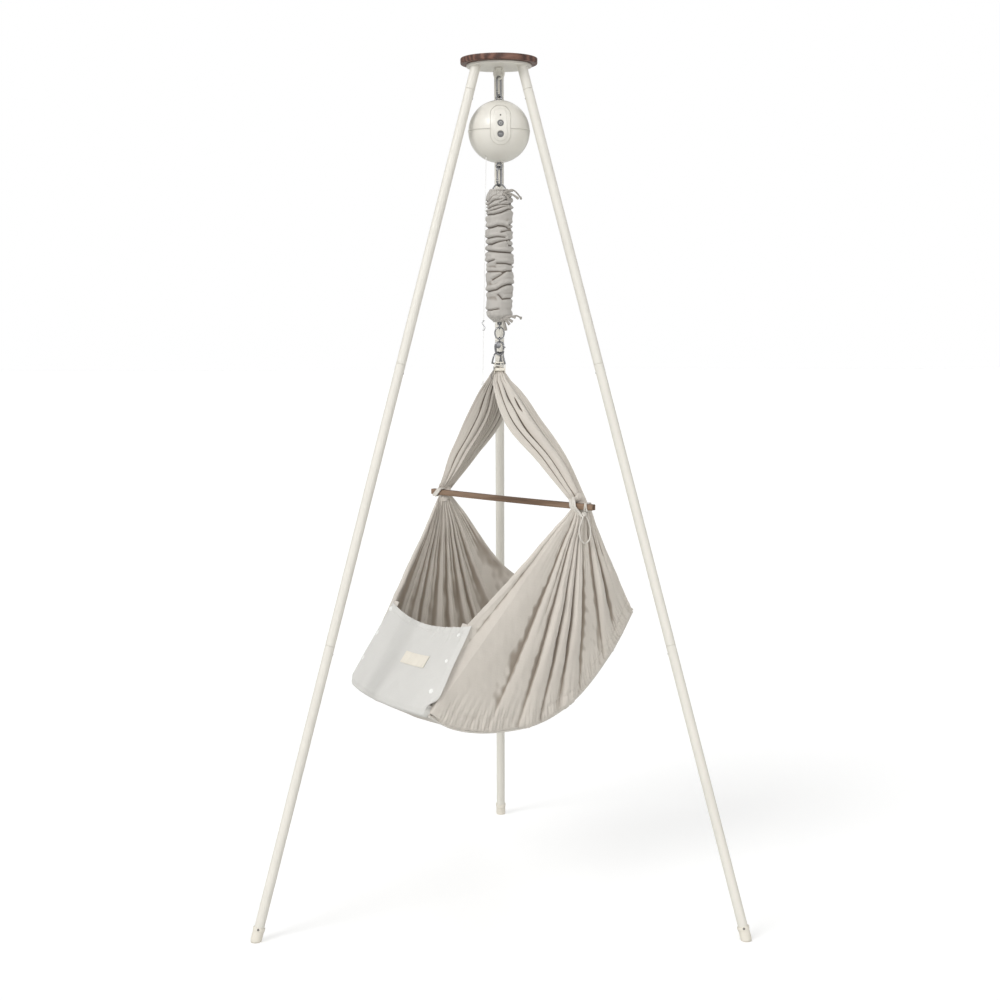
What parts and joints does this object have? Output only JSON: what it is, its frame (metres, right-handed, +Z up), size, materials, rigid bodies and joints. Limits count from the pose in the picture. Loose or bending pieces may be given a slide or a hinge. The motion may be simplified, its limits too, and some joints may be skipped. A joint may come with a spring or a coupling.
{
  "type": "baby swing",
  "caption": "Tripod stand with a ball-shaped motor unit, a covered spring and a hanging cloth cradle that bounces, sways and turns.",
  "frame": {"origin": "on the floor, at the middle of the box round the three feet", "axes": "+Z up the stand, -Y towards the front between the two front legs, +X to the right seen from the front"},
  "size_m": [1.105, 0.9605, 1.95],
  "materials": {
    "white_paint": "warm white powder coat, satin",
    "foot_plastic": "warm white moulded plastic",
    "walnut": "oiled dark walnut",
    "steel": "polished plated steel",
    "shell_plastic": "cream moulded plastic, soft gloss",
    "button_grey": "grey soft-touch buttons",
    "dark_plastic": "dark moulded plastic",
    "board_green": "lacquered circuit board",
    "grey_cloth": "grey plain-weave cotton, gathered",
    "greige_cloth": "greige plain-weave cotton, pleated",
    "white_cloth": "off-white plain-weave cotton",
    "cream_webbing": "cream cotton webbing and ticking",
    "nylon": "pale nylon thread"
  },
  "bodies": {
    "stand": {"top_disc": "walnut", "head_plate": "white_paint", "leg_left_upper_tube": "white_paint", "leg_left_middle_tube": "white_paint", "leg_left_lower_tube": "white_paint", "leg_right_upper_tube": "white_paint", "leg_right_middle_tube": "white_paint", "leg_right_lower_tube": "white_paint", "leg_rear_upper_tube": "white_paint", "leg_rear_middle_tube": "white_paint", "leg_rear_lower_tube": "white_paint", "foot_cap_left": "foot_plastic", "foot_cap_right": "foot_plastic", "foot_cap_rear": "foot_plastic", "eye_bolt": "white_paint"},
    "hook": {"upper_hook": "steel"},
    "hook_gate": {"upper_hook_gate": "steel"},
    "motor": {"motor_shell_upper": "shell_plastic", "motor_shell_lower": "shell_plastic", "control_panel": "shell_plastic", "status_light": "dark_plastic", "circuit_board": "board_green", "motor_top_eye": "steel", "motor_chassis": "steel", "gear_motor": "dark_plastic", "sensor_thread": "nylon", "thread_clip": "steel", "thread_bead": "nylon"},
    "power_key": {"power_button": "button_grey"},
    "mode_key": {"mode_button": "button_grey"},
    "drum": {"lifting_drum": "steel"},
    "lift": {"lift_rod": "steel", "lower_hook": "steel", "spring_ring": "steel", "spring_top_cap": "steel", "coil_spring": "steel", "spring_cover": "grey_cloth", "cover_tie_upper": "grey_cloth"},
    "lower_gate": {"lower_hook_gate": "steel"},
    "spring_end": {"spring_foot": "steel", "cover_tie_lower": "grey_cloth"},
    "turning_link": {"swivel": "steel", "oval_link": "steel", "snap_hook": "steel"},
    "snap_gate": {"snap_hook_gate": "steel"},
    "cradle": {"cradle_ring_left": "steel", "cradle_ring_right": "steel", "web_loop": "cream_webbing", "apex_wrap": "greige_cloth", "sling_left": "greige_cloth", "sling_right": "greige_cloth", "gather_left": "greige_cloth", "gather_right": "greige_cloth", "side_panel_left": "greige_cloth", "side_panel_right": "greige_cloth", "spreader_bar": "walnut", "base_panel": "greige_cloth", "mattress": "cream_webbing", "foot_cover": "white_cloth", "bow_cord": "greige_cloth"}
  },
  "joints": [
    {"name": "sway_side", "type": "hinge", "parent": "stand", "child": "hook", "pos_m": [0, -0.15625, 1.9101], "axis": [0, 1, 0], "range_deg": [-2.5, 2.5]},
    {"name": "sway_fore_aft", "type": "hinge", "parent": "hook", "child": "motor", "pos_m": [0, -0.15625, 1.8687], "axis": [0.9986, 0.0523, 0], "range_deg": [-2.5, 2.5]},
    {"name": "upper_gate_opens", "type": "hinge", "parent": "hook", "child": "hook_gate", "pos_m": [-0.00424, -0.16303, 1.8753], "axis": [0.848, -0.5299, 0], "range_deg": [-20, 0], "stiffness_Nm_per_rad": 0.05},
    {"name": "power_press", "type": "slide", "parent": "motor", "child": "power_key", "axis": [-0.0523, 0.9986, 0], "range_m": [0, 0.0012], "stiffness_N_per_m": 300},
    {"name": "mode_press", "type": "slide", "parent": "motor", "child": "mode_key", "axis": [-0.0523, 0.9986, 0], "range_m": [0, 0.0012], "stiffness_N_per_m": 300},
    {"name": "drum_turn", "type": "hinge", "parent": "motor", "child": "drum", "pos_m": [-0.01298, -0.15693, 1.7975], "axis": [-0.0523, 0.9986, 0], "range_deg": [-36.5, 36.5]},
    {"name": "lift", "type": "slide", "parent": "motor", "child": "lift", "axis": [0, 0, 1], "range_m": [-0.008, 0.008]},
    {"name": "lower_gate_opens", "type": "hinge", "parent": "lift", "child": "lower_gate", "pos_m": [-0.00424, -0.16303, 1.6766], "axis": [0.848, -0.5299, 0], "range_deg": [-20, 0], "stiffness_Nm_per_rad": 0.05},
    {"name": "bounce", "type": "slide", "parent": "lift", "child": "spring_end", "axis": [0, 0, 1], "range_m": [-0.12, 0.02], "stiffness_N_per_m": 260, "springref_m": 0.1046, "deforming": ["coil_spring", "spring_cover"]},
    {"name": "cradle_turn", "type": "hinge", "parent": "spring_end", "child": "turning_link", "pos_m": [0, -0.15625, 1.37], "axis": [0, 0, 1], "continuous": true},
    {"name": "snap_gate_opens", "type": "hinge", "parent": "turning_link", "child": "snap_gate", "pos_m": [0.009, -0.15625, 1.292], "axis": [0, 1, 0], "range_deg": [-20, 0], "stiffness_Nm_per_rad": 0.05},
    {"name": "cradle_rock", "type": "hinge", "parent": "turning_link", "child": "cradle", "pos_m": [0, -0.15625, 1.282], "axis": [1, 0, 0], "range_deg": [-3, 3]}
  ],
  "couplings": [
    {"joint": "drum_turn", "follows": "lift", "rad_per_m": -79.37}
  ]
}
